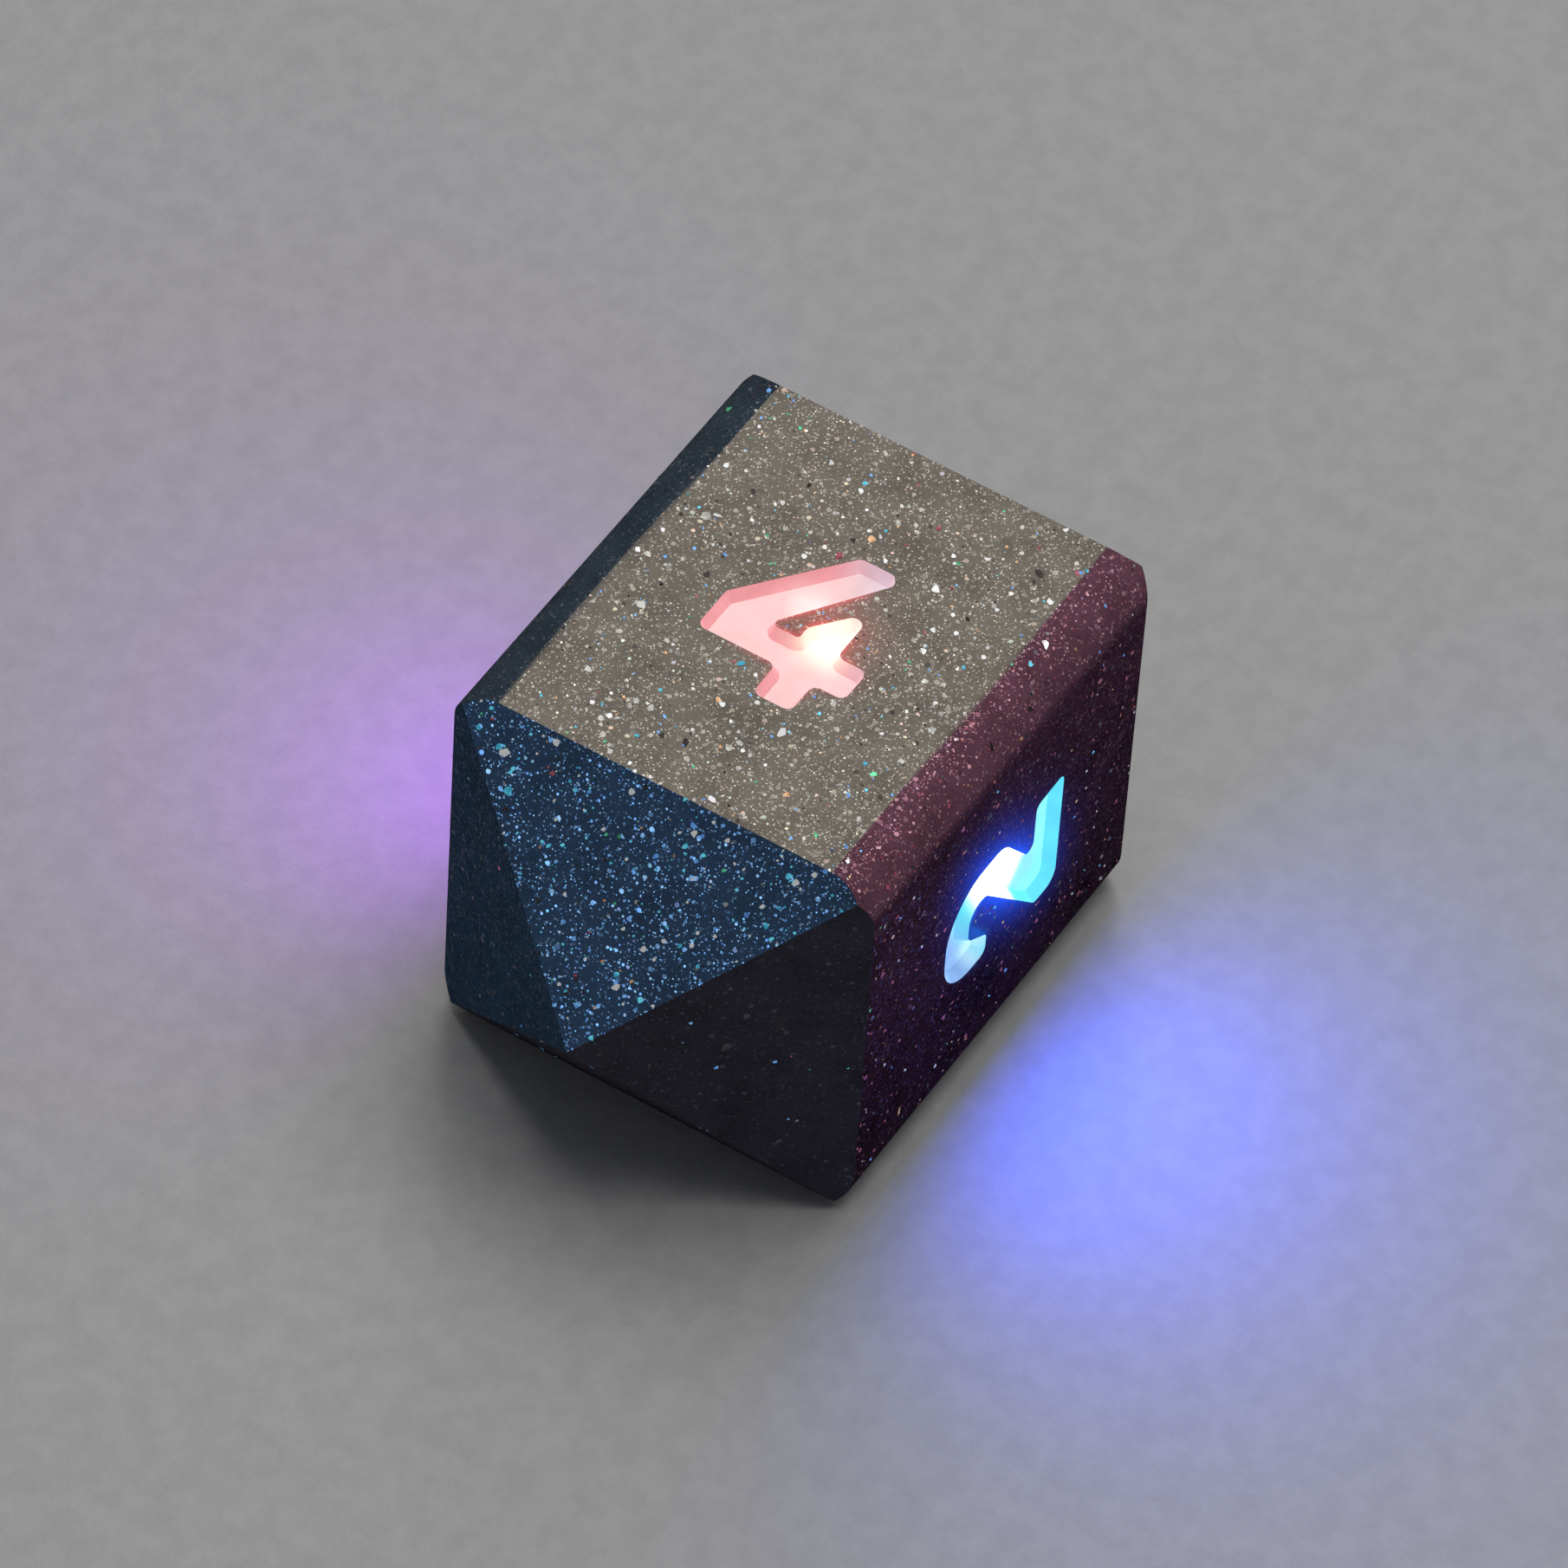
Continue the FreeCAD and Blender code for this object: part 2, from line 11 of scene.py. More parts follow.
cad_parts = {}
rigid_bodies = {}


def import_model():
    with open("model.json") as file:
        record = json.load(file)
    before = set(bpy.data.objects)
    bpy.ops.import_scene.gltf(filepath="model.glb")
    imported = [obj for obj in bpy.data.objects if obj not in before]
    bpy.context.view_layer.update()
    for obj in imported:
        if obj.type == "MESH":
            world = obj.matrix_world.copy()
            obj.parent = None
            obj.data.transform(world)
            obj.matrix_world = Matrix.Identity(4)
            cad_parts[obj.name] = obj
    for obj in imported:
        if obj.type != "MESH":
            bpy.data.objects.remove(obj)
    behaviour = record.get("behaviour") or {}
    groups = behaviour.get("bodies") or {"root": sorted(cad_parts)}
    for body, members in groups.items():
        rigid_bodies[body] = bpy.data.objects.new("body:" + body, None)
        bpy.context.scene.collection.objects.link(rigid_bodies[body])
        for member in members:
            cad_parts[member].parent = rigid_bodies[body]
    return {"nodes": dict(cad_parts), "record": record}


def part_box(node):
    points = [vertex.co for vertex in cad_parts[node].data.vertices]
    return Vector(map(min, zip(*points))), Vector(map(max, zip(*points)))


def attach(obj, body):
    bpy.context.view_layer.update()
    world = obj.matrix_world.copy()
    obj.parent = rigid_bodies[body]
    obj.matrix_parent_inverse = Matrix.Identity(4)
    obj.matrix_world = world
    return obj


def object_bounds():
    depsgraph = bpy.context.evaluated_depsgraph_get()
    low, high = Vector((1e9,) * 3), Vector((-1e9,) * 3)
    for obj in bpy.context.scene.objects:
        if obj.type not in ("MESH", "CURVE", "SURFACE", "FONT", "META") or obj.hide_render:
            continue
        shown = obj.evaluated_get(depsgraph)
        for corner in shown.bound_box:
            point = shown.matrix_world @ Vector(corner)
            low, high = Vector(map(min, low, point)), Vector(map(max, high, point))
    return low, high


for leftover in list(bpy.data.objects):
    bpy.data.objects.remove(leftover)

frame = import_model()
cad_box = [list(corner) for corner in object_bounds()]

MM = 0.001
LOW, HIGH = (Vector(corner) for corner in cad_box)
MIDDLE = (LOW + HIGH) / 2
WIDTH = HIGH.z - LOW.z
HALF = WIDTH / 2
PYRAMID = 0.331 * WIDTH
NUMERAL_LOW, NUMERAL_HIGH = (Vector(corner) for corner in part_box("numeral_4"))
NUMERAL_HEIGHT = NUMERAL_HIGH.x - NUMERAL_LOW.x
TALL = NUMERAL_HEIGHT / MM   # the same in millimetres, the unit of the shaders

X, Y, Z = Vector((1, 0, 0)), Vector((0, 1, 0)), Vector((0, 0, 1))
# For each number: the direction its face looks, the numeral's right and its up.
FACES = {1: (-Z, -Y, -X), 2: (Y, Z, X), 3: (-Y, -Z, X), 4: (Z, Y, -X)}


# ---------------------------------------------------------------- shader helpers

class Shader:
    """A material's node tree, with short ways to add the nodes used here."""

    def __init__(self, name):
        self.material = bpy.data.materials.new(name)
        self.material.use_nodes = True
        self.tree = self.material.node_tree
        self.surface = self.tree.nodes["Principled BSDF"]
        self.place = None

    def node(self, kind, inputs=None, **settings):
        made = self.tree.nodes.new(f"ShaderNode{kind}")
        for name, value in settings.items():
            setattr(made, name, value)
        for name, value in (inputs or {}).items():
            self.feed(made.inputs[name], value)
        return made

    def feed(self, socket, value):
        if isinstance(value, bpy.types.NodeSocket):
            self.tree.links.new(value, socket)
        elif isinstance(value, (tuple, list)) and len(value) == 3 and socket.type == "RGBA":
            socket.default_value = (*value, 1)
        else:
            socket.default_value = value

    def set(self, **values):
        for name, value in values.items():
            self.feed(self.surface.inputs[name.replace("_", " ")], value)

    def millimetres(self):
        """The point's place on the die, in millimetres."""
        if self.place is None:
            here = self.node("TexCoord").outputs["Object"]
            scaled = self.node("VectorMath", {0: here, 3: 1 / MM}, operation="SCALE")
            self.place = scaled.outputs[0]
        return self.place

    def math(self, operation, first, second=0.0, third=0.0, clamp=False):
        inputs = {0: first, 1: second, 2: third}
        return self.node("Math", inputs, operation=operation, use_clamp=clamp).outputs[0]

    def vector(self, operation, first, second=(0, 0, 0)):
        made = self.node("VectorMath", {0: first, 1: second}, operation=operation)
        scalar = operation in ("DOT_PRODUCT", "LENGTH", "DISTANCE")
        return made.outputs["Value" if scalar else "Vector"]

    def scale(self, vector, factor):
        return self.node("VectorMath", {0: vector, 3: factor}, operation="SCALE").outputs[0]

    def mix(self, factor, first, second, blend="MIX"):
        inputs = {0: factor, 6: first, 7: second}
        return self.node("Mix", inputs, data_type="RGBA", blend_type=blend).outputs[2]

    def ramp(self, factor, stops, smooth=True):
        made = self.node("ValToRGB", {"Fac": factor})
        made.color_ramp.interpolation = "LINEAR" if smooth else "CONSTANT"
        marks = made.color_ramp.elements
        while len(marks) < len(stops):
            marks.new(1.0)
        for mark, (where, colour) in zip(marks, stops):
            mark.position = where
            mark.color = (*colour, 1)
        return made.outputs["Color"]

    def between(self, value, low, high):
        """0 below low, 1 above high and smooth in between."""
        made = self.node("MapRange", {0: value, 1: low, 2: high}, interpolation_type="SMOOTHSTEP")
        return made.outputs[0]

    def fading(self, distance, strength, reach, limit):
        """A strength that falls away exponentially with distance, and never passes a limit."""
        power = self.math("POWER", math.e, self.math("MULTIPLY", distance, -1 / reach))
        return self.math("MINIMUM", self.math("MULTIPLY", power, strength), limit)

    def noise(self, scale, detail=3.0, roughness=0.5):
        inputs = {"Vector": self.millimetres(), "Scale": scale, "Detail": detail,
                  "Roughness": roughness}
        return self.node("TexNoise", inputs).outputs["Fac"]

    def bump(self, height, distance, strength):
        inputs = {"Height": height, "Distance": distance, "Strength": strength}
        self.set(Normal=self.node("Bump", inputs).outputs[0])


# ---------------------------------------------------------------- where the light is

def on_face(number, right, up, out=0.0):
    """A point on a numbered face, from millimetres right, up and out of its middle."""
    outwards, rightwards, upwards = FACES[number]
    centre = MIDDLE / MM + outwards * HALF / MM
    return centre + rightwards * right + upwards * up + outwards * out


# The middle lines of each numeral's strokes, in shares of its height.
STROKES = {
    1: (((0.0, -0.36), (0.0, 0.36)), ((-0.16, 0.24), (0.0, 0.36))),
    2: (((-0.31, -0.42), (0.22, -0.42)), ((-0.31, -0.40), (0.22, 0.08)),
        ((0.22, 0.08), (0.20, 0.30)), ((0.20, 0.30), (0.0, 0.40)), ((0.0, 0.40), (-0.24, 0.22))),
    3: (((-0.22, 0.40), (0.20, 0.40)), ((0.20, 0.40), (-0.02, 0.05)), ((0.05, 0.02), (0.24, -0.18)),
        ((0.24, -0.18), (0.0, -0.40)), ((0.0, -0.40), (-0.22, -0.31))),
    4: (((0.04, 0.36), (-0.28, -0.10)), ((-0.29, -0.19), (0.27, -0.19)),
        ((0.125, -0.38), (0.125, -0.04))),
}
STROKE_HALF_WIDTH = 0.10   # as a share of the numeral's height

# Each numeral's lamp. Where it shines through, in millimetres right and up of the face's middle,
# and how far its white heart and its fading reach. Its colour in the heart, on the numeral's
# floor, on its sloping sides, and towards its end, which lies along end_way; that end tone is
# painted light. The glow painted on the resin round it: a thin rim along the strokes, and a wide
# patch round the lamp, each with its colour, strength and reach in millimetres. The way, right
# and up, in which the wide patch spreads further, and how much further. Its painted patches,
# painted highlights and a painted reflection where a stroke shows another tone: their place and
# reach in shares of the numeral's height, and their colour.
LAMPS = {
    1: {"spot": (0.0, 0.0), "heart": 0.4, "fading": 2.2,
        "hot": (1.2, 2.4, 1.4), "mild": (0.14, 0.72, 0.26), "sides": (0.06, 0.46, 0.14),
        "end": (0.14, 0.60, 0.40), "end_way": (0.0, 1.0), "end_from": 1.0, "end_to": 3.0,
        "rim": ((0.00, 0.40, 0.08), 0.7, 0.15), "wide": ((0.00, 0.25, 0.04), 1.2, 1.0)},
    2: {"spot": (0.45, -0.3), "heart": 1.3, "fading": 2.45,
        "hot": (3.0, 3.2, 3.2), "mild": (0.26, 0.93, 1.00), "sides": (0.09, 0.78, 0.98),
        "end": (0.24, 0.38, 0.85), "end_way": (-0.45, 0.90), "end_from": 1.2, "end_to": 2.8,
        "rim": ((0.004, 0.20, 1.00), 0.5, 0.12), "wide": ((0.012, 0.090, 1.00), 3.2, 0.70),
        "spread": ((1.0, 1.0), 2.8), "painted_patches": (((-0.25, 0.19), 0.13, (0.80, 1.00, 1.00)),)},
    3: {"spot": (0.0, 0.0), "heart": 0.6, "fading": 2.4,
        "hot": (2.0, 1.5, 2.8), "mild": (0.50, 0.20, 0.95), "sides": (0.30, 0.08, 0.80),
        "end": (0.50, 0.30, 0.90), "end_way": (0.0, 1.0), "end_from": 1.0, "end_to": 3.0,
        "rim": ((0.22, 0.02, 0.70), 0.9, 0.20), "wide": ((0.16, 0.01, 0.60), 2.0, 1.0)},
    4: {"spot": (0.92, 0.15), "heart": 0.20, "fading": 2.2,
        "hot": (1.55, 1.27, 0.98), "mild": (0.93, 0.52, 0.51), "sides": (0.84, 0.29, 0.31),
        "end": (0.68, 0.52, 0.62), "end_way": (0.70, 0.45), "end_from": 0.5, "end_to": 2.3,
        "rim": ((0.90, 0.010, 0.05), 0.6, 0.13), "wide": ((0.70, 0.02, 0.02), 0.9, 0.65),
        "painted_patches": (((-0.07, 0.16), 0.17, (1.00, 0.93, 0.93)),
                   ((0.10, -0.47), 0.09, (0.58, 0.42, 0.44)))},
}
WIDE_GLOW_LIMIT = 0.9
WIDE_GLOW_END = 7.5   # millimetres from the lamp
NO_SPREAD = ((1.0, 0.0), 1.0)
RIM_FULL, RIM_GONE = 0.4, 1.9   # the rim's end, in shares of the lamp's fading


def stroke_distance(shader, number):
    """Distance in millimetres from a numeral's strokes, from their middle lines."""
    here = shader.millimetres()
    nearest = None
    for start, stop in STROKES[number]:
        a = on_face(number, start[0] * TALL, start[1] * TALL)
        b = on_face(number, stop[0] * TALL, stop[1] * TALL)
        from_a = shader.vector("SUBTRACT", here, tuple(a))
        along = (b - a) / (b - a).length_squared
        share = shader.math("MULTIPLY", shader.vector("DOT_PRODUCT", from_a, tuple(along)), 1.0,
                            clamp=True)
        foot = shader.scale(tuple(b - a), share)
        away = shader.vector("LENGTH", shader.vector("SUBTRACT", from_a, foot))
        nearest = away if nearest is None else shader.math("MINIMUM", nearest, away)
    return nearest


def spread_distance(shader, number, lamp):
    """Distance in millimetres from a lamp's spot, counted short along the way its glow spreads."""
    _, rightwards, upwards = FACES[number]
    (right, up), factor = lamp.get("spread", NO_SPREAD)
    way = (rightwards * right + upwards * up).normalized()
    offset = shader.vector("SUBTRACT", shader.millimetres(), tuple(on_face(number, *lamp["spot"])))
    along = shader.vector("DOT_PRODUCT", offset, tuple(way))
    whole = shader.vector("DOT_PRODUCT", offset, offset)
    saved = shader.math("MULTIPLY", shader.math("MULTIPLY", along, along), 1 - 1 / factor ** 2)
    return shader.math("SQRT", shader.math("SUBTRACT", whole, saved))


# ---------------------------------------------------------------- materials

FLAKE_REACH = 0.42   # how far a flake fills its cell, in cell widths
LAYER_SHIFT = (1.0, 0.7, 1.3)


def glitter_layer(shader, cells_per_mm, share, offset):
    """One size of glitter: where its flakes are and the random numbers of each."""
    shift = tuple(offset * step for step in LAYER_SHIFT)
    moved = shader.vector("ADD", shader.millimetres(), shift)
    cells = shader.node("TexVoronoi", {"Vector": moved, "Scale": cells_per_mm, "Randomness": 1.0},
                        feature="F1")
    lottery = shader.node("SeparateColor", {"Color": cells.outputs["Color"]}).outputs
    chosen = shader.math("GREATER_THAN", lottery[0], 1 - share)
    inside = shader.math("LESS_THAN", cells.outputs["Distance"], FLAKE_REACH)
    return shader.math("MULTIPLY", chosen, inside), lottery, cells.outputs["Color"]


# Where each hue starts on the scale from 0 to 1 that a flake's random number falls on.
FLAKE_HUES = (
    (0.00, (0.96, 0.94, 0.90)), (0.40, (0.80, 0.86, 0.92)), (0.62, (0.62, 0.76, 0.98)),
    (0.72, (0.98, 0.88, 0.70)), (0.82, (0.60, 0.90, 0.78)), (0.87, (1.00, 0.66, 0.46)),
    (0.92, (0.98, 0.60, 0.66)), (0.96, (1.00, 1.00, 0.96)),
)
# Sizes of glitter in the resin: cells per millimetre, share of cells with a flake, offset.
GLITTER_SIZES = ((15.0, 0.42, 0.0), (8.0, 0.26, 3.1), (4.6, 0.12, 7.7))

# How the resin looks on each part of the die, with painted light: the painted sheen of the light
# above and painted coloured light set each part's colour, the tint of its glitter, and how bright
# the glitter is.
RESIN_WITH_PAINTED_LIGHT = {
    "body": ((0.060, 0.057, 0.077), (0.80, 0.80, 1.00), 0.09),
    "top": ((0.325, 0.289, 0.241), (1.00, 0.97, 0.93), 0.62),
    "side": ((0.080, 0.030, 0.052), (1.00, 0.42, 0.50), 0.26),
    "right_edge": ((0.205, 0.085, 0.128), (1.00, 0.50, 0.56), 0.66),
    "left_edge": ((0.050, 0.070, 0.096), (0.85, 0.92, 1.00), 0.24),
    "front": ((0.058, 0.112, 0.215), (0.13, 0.46, 1.00), 1.60),
    "teal": ((0.039, 0.084, 0.142), (0.35, 0.75, 1.00), 0.18),
}


# Where each part of the die starts, or fades in, in components of the way its skin faces.
BAR_LIMIT = 0.2
ABOVE_LIMIT = 0.02
TOP_EDGE = (0.9945, 0.9995)
SIDE_LIMIT = 0.5
RIGHT_EDGE_START = (0.03, 0.06)
RIGHT_EDGE_END = (0.0, 0.35)
LEFT_EDGE_LIMIT = 0.03
FACET_EDGE = (0.93, 0.985)
TEAL_EDGE = (0.05, 0.4)


def regions(shader):
    """Masks of the casting's parts, by the way its skin faces."""
    normal = shader.node("TexCoord").outputs["Normal"]
    facing = shader.node("SeparateXYZ", {0: normal}).outputs
    along, across, upward = facing[0], facing[1], facing[2]
    leftward = shader.math("MULTIPLY", across, -1.0)
    lengthways = shader.math("ABSOLUTE", along)
    bar = shader.math("LESS_THAN", lengthways, BAR_LIMIT)
    above = shader.math("GREATER_THAN", upward, ABOVE_LIMIT)
    facet_slope = HALF / math.hypot(HALF, PYRAMID)
    facet_rise = PYRAMID / math.hypot(HALF, PYRAMID)
    end_lean = shader.math("ADD", shader.math("MULTIPLY", lengthways, facet_slope),
                           shader.math("MULTIPLY", upward, facet_rise))
    left_end = shader.math("SUBTRACT", leftward, shader.math("MULTIPLY", bar, 2.0))

    def on_bar(*masks):
        found = bar
        for mask in masks:
            found = shader.math("MULTIPLY", found, mask)
        return found

    return {
        "top": shader.between(upward, *TOP_EDGE),
        "side": on_bar(shader.math("GREATER_THAN", across, SIDE_LIMIT)),
        "right_edge": on_bar(above, shader.between(across, *RIGHT_EDGE_START),
                             shader.between(upward, *RIGHT_EDGE_END)),
        "left_edge": on_bar(above, shader.math("GREATER_THAN", leftward, LEFT_EDGE_LIMIT)),
        "front": shader.between(end_lean, *FACET_EDGE),
        "teal": shader.between(left_end, *TEAL_EDGE),
    }


SIDE_FADE_TOP, SIDE_FADE_FOOT = 6.0, -6.5   # millimetres from the die's middle
SIDE_PAINTED_SHADE, SIDE_PAINTED_SHADE_ON_GLITTER = 0.50, 0.6        # painted shade: how much the right side's colour and glitter darken at its foot
PATCH_DARKER = 0.30
HUE_TINTED = 0.85                           # how much of its region's tint a flake takes
FLAKE_LEAN = 0.35
FRONT_PAINTED_GLINTS, RIGHT_EDGE_PAINTED_GLINTS = 0.95, 0.12
RESIN_GLOSS, FLAKE_GLOSS, FLAKE_METAL = 0.34, 0.08, 0.30


def glitter_resin():
    """Smoky resin full of glitter, with painted light: each part's tone, glowing glints and lamp
    glow.
    """
    shader = Shader("glitter_resin")
    base, tint, strength = RESIN_WITH_PAINTED_LIGHT["body"]
    where = regions(shader)
    for name in ("teal", "front", "side", "left_edge", "right_edge", "top"):
        # Each part's colour, glitter tint and brightness carry painted light: a painted sheen on
        # the top, painted coloured light on the facets and sides.
        depth, shine, power = RESIN_WITH_PAINTED_LIGHT[name]
        base = shader.mix(where[name], base, depth)
        tint = shader.mix(where[name], tint, shine)
        strength = shader.node("Mix", {0: where[name], 2: strength, 3: power}).outputs[0]

    here = shader.vector("SUBTRACT", shader.millimetres(), tuple(MIDDLE / MM))
    place = shader.node("SeparateXYZ", {0: here}).outputs
    # Painted shade: the right side is darker towards its foot.
    low = shader.math("MULTIPLY", where["side"],
                      shader.between(place[2], SIDE_FADE_TOP, SIDE_FADE_FOOT))
    cloud = shader.between(shader.noise(0.55, 5.0, 0.6), 0.35, 0.75)
    patches = shader.math("MULTIPLY", cloud, PATCH_DARKER)
    shade = shader.math("SUBTRACT", 1.0, shader.math("MULTIPLY_ADD", low, SIDE_PAINTED_SHADE, patches))
    base = shader.scale(base, shade)
    kept = shader.math("SUBTRACT", 1.0, shader.math("MULTIPLY", low, SIDE_PAINTED_SHADE_ON_GLITTER))
    strength = shader.math("MULTIPLY", strength, kept)

    colour, tilt, flakes, painted_glint_colour = base, (0, 0, 0), 0.0, (0, 0, 0)
    for cells_per_mm, share, offset in GLITTER_SIZES:
        mask, lottery, scatter = glitter_layer(shader, cells_per_mm, share, offset)
        hue = shader.ramp(lottery[1], FLAKE_HUES, smooth=False)
        hue = shader.mix(HUE_TINTED, hue, tint, "MULTIPLY")
        bright = shader.math("MULTIPLY", shader.math("POWER", lottery[2], 3.0), strength)
        flake = shader.vector("ADD", base, shader.scale(hue, bright))
        colour = shader.mix(mask, colour, flake)
        flakes = shader.math("MAXIMUM", flakes, mask)
        lit = shader.math("MULTIPLY", mask, shader.math("POWER", lottery[2], 6.0))
        painted_glint_colour = shader.vector("ADD", painted_glint_colour, shader.scale(hue, lit))
        lean = shader.scale(shader.vector("SUBTRACT", scatter, (0.5, 0.5, 0.5)), mask)
        tilt = shader.vector("ADD", tilt, lean)

    upright = shader.node("NewGeometry").outputs["Normal"]
    leaning = shader.vector("ADD", upright, shader.scale(tilt, FLAKE_LEAN))
    leaning = shader.vector("NORMALIZE", leaning)

    # Painted glints: flakes on the front facets, and a few on the right edge, glow in their tint.
    painted_glint_strength = shader.math("MULTIPLY_ADD", where["front"], FRONT_PAINTED_GLINTS,
                              shader.math("MULTIPLY", where["right_edge"], RIGHT_EDGE_PAINTED_GLINTS))
    glow = shader.scale(painted_glint_colour, painted_glint_strength)
    # Painted light: each lamp's glow on the resin, a thin rim along its strokes and a wide patch
    # round it, is painted into the resin's emission.
    for number, lamp in LAMPS.items():
        away = shader.math("SUBTRACT", stroke_distance(shader, number), STROKE_HALF_WIDTH * TALL)
        spot = tuple(on_face(number, *lamp["spot"]))
        from_lamp = shader.vector("DISTANCE", shader.millimetres(), spot)
        near = shader.between(from_lamp, RIM_GONE * lamp["fading"], RIM_FULL * lamp["fading"])
        rim = shader.math("MULTIPLY", shader.fading(away, *lamp["rim"][1:], lamp["rim"][1]), near)
        wide = shader.fading(spread_distance(shader, number, lamp), *lamp["wide"][1:],
                             WIDE_GLOW_LIMIT)
        wide = shader.math("MULTIPLY", wide, shader.between(from_lamp, WIDE_GLOW_END, 0.0))
        glow = shader.vector("ADD", glow, shader.scale(lamp["rim"][0], rim))
        glow = shader.vector("ADD", glow, shader.scale(lamp["wide"][0], wide))

    gloss = shader.math("SUBTRACT", RESIN_GLOSS, shader.math("MULTIPLY", flakes, FLAKE_GLOSS))
    metal = shader.math("MULTIPLY", flakes, FLAKE_METAL)
    shader.set(Base_Color=colour, Metallic=metal, Roughness=gloss, Normal=leaning,
               Specular_IOR_Level=0.0, Emission_Color=glow, Emission_Strength=1.0)
    return shader.material


WARMTH_POWER = 1.6
SLOPE_EDGE = (0.55, 0.97)   # how squarely the numeral's floor and its sides face outwards
END_SHARE = 0.85
CLOUD_DEPTH = 0.14


def numeral_resin(number):
    """Milky resin lit from behind: hottest over its lamp, deeper in colour down its sides."""
    shader = Shader(f"numeral_{number}")
    lamp = LAMPS[number]
    outwards, rightwards, upwards = FACES[number]
    here = shader.millimetres()
    from_lamp = shader.vector("DISTANCE", here, tuple(on_face(number, *lamp["spot"])))
    warmth = shader.between(from_lamp, lamp["fading"], lamp["heart"])
    warmth = shader.math("POWER", warmth, WARMTH_POWER)
    normal = shader.node("TexCoord").outputs["Normal"]
    slope = shader.vector("DOT_PRODUCT", normal, tuple(outwards))
    flatness = shader.between(slope, *SLOPE_EDGE)
    cloud = shader.between(shader.noise(0.9, 3.0), 0.2, 0.8)
    end_right, end_up = lamp["end_way"]
    end_way = rightwards * end_right + upwards * end_up
    from_middle = shader.vector("SUBTRACT", here, tuple(on_face(number, 0, 0)))
    towards_end = shader.vector("DOT_PRODUCT", from_middle, tuple(end_way))
    ending = shader.between(towards_end, lamp["end_from"], lamp["end_to"])

    far = shader.mix(flatness, lamp["sides"], lamp["mild"])
    # Painted light: the tone towards the numeral's end, on the 4 the blue light of the 2's lamp.
    far = shader.mix(shader.math("MULTIPLY", ending, END_SHARE), far, lamp["end"])
    # Painted highlights and a painted reflection: patches where a stroke shows another tone.
    for (right, up), reach, painted_patch_colour in lamp.get("painted_patches", ()):
        painted_patch_spot = tuple(on_face(number, right * TALL, up * TALL))
        from_painted_patch = shader.vector("DISTANCE", here, painted_patch_spot)
        far = shader.mix(shader.between(from_painted_patch, reach * TALL, 0.0), far, painted_patch_colour)
    colour = shader.mix(warmth, far, lamp["hot"])
    clouding = shader.math("MULTIPLY_ADD", cloud, CLOUD_DEPTH, 1 - CLOUD_DEPTH)
    light = shader.scale(colour, clouding)
    body = shader.mix(cloud, (0.12, 0.11, 0.12), (0.17, 0.16, 0.17))
    shader.set(Base_Color=body, Roughness=0.22, Coat_Weight=0.4, Coat_Roughness=0.10,
               Emission_Color=light, Emission_Strength=1.0)
    shader.bump(shader.noise(5.0), 0.00002, 0.4)
    return shader.material


def flake_metal(name, dark, light, glow):
    """A glitter flake: foil whose colour shifts a little from flake to flake."""
    shader = Shader(name)
    tone = shader.between(shader.noise(3.0, 2.0), 0.35, 0.65)
    colour = shader.mix(tone, dark, light)
    # Painted glints: the emission makes the flakes of the glowing kinds shine.
    shader.set(Base_Color=colour, Metallic=0.35, Roughness=0.36, Emission_Color=colour,
               Emission_Strength=glow)
    return shader.material


def plain_pattern(name, dark, light, grain, roughness, metallic=0.0, depth=0.00001):
    """A moulded or plated material with a fine mottled tone, uneven gloss and grain."""
    shader = Shader(name)
    tone = shader.between(shader.noise(grain, 5.0), 0.3, 0.7)
    uneven = shader.math("MULTIPLY_ADD", tone, 0.12, roughness - 0.06)
    shader.set(Base_Color=shader.mix(tone, dark, light), Roughness=uneven, Metallic=metallic)
    shader.bump(shader.noise(grain * 6), depth, 0.6)
    return shader.material


def circuit_board():
    """Green solder mask with fine tracks under it and a scatter of plated holes."""
    shader = Shader("circuit_board")
    tracks = shader.node("TexBrick", {
        "Vector": shader.millimetres(), "Scale": 1.0, "Brick Width": 1.7, "Row Height": 0.42,
        "Mortar Size": 0.07, "Mortar Smooth": 0.1,
    }).outputs["Fac"]
    spots = shader.node("TexVoronoi", {"Vector": shader.millimetres(), "Scale": 0.8})
    hole = shader.math("LESS_THAN", spots.outputs["Distance"], 0.10)
    mask = shader.mix(tracks, (0.012, 0.10, 0.045), (0.03, 0.20, 0.09))
    shader.set(Base_Color=shader.mix(hole, mask, (0.75, 0.60, 0.28)), Roughness=0.32,
               Metallic=shader.math("MULTIPLY", hole, 0.9))
    shader.bump(tracks, 0.00002, 0.6)
    return shader.material


def coil_winding():
    """Enamelled copper wire wound flat, turn beside turn."""
    shader = Shader("copper")
    turn_width = 0.18   # millimetres
    here = shader.vector("SUBTRACT", shader.millimetres(), tuple(MIDDLE / MM))
    across = shader.vector("LENGTH", shader.vector("MULTIPLY", here, (0, 1, 1)))
    turns = shader.math("SINE", shader.math("MULTIPLY", across, 2 * math.pi / turn_width))
    tone = shader.between(turns, -1.0, 1.0)
    shader.set(Base_Color=shader.mix(tone, (0.16, 0.05, 0.02), (0.80, 0.38, 0.18)),
               Metallic=0.9, Roughness=0.28)
    shader.bump(turns, 0.00003, 0.8)
    return shader.material


def glowing_lens(number):
    """The clear lens of one lamp, brightest over the light at its middle."""
    shader = Shader(f"lamp_lens_{number}")
    lamp = LAMPS[number]
    depth = 3.0   # millimetres under the face
    from_middle = shader.vector("DISTANCE", shader.millimetres(),
                                tuple(on_face(number, 0, 0, -depth)))
    colour = shader.mix(shader.between(from_middle, 0.2, 0.9), lamp["hot"], lamp["mild"])
    shader.set(Base_Color=(0.8, 0.8, 0.8), Roughness=0.08, Emission_Color=colour,
               Emission_Strength=3.0)
    return shader.material


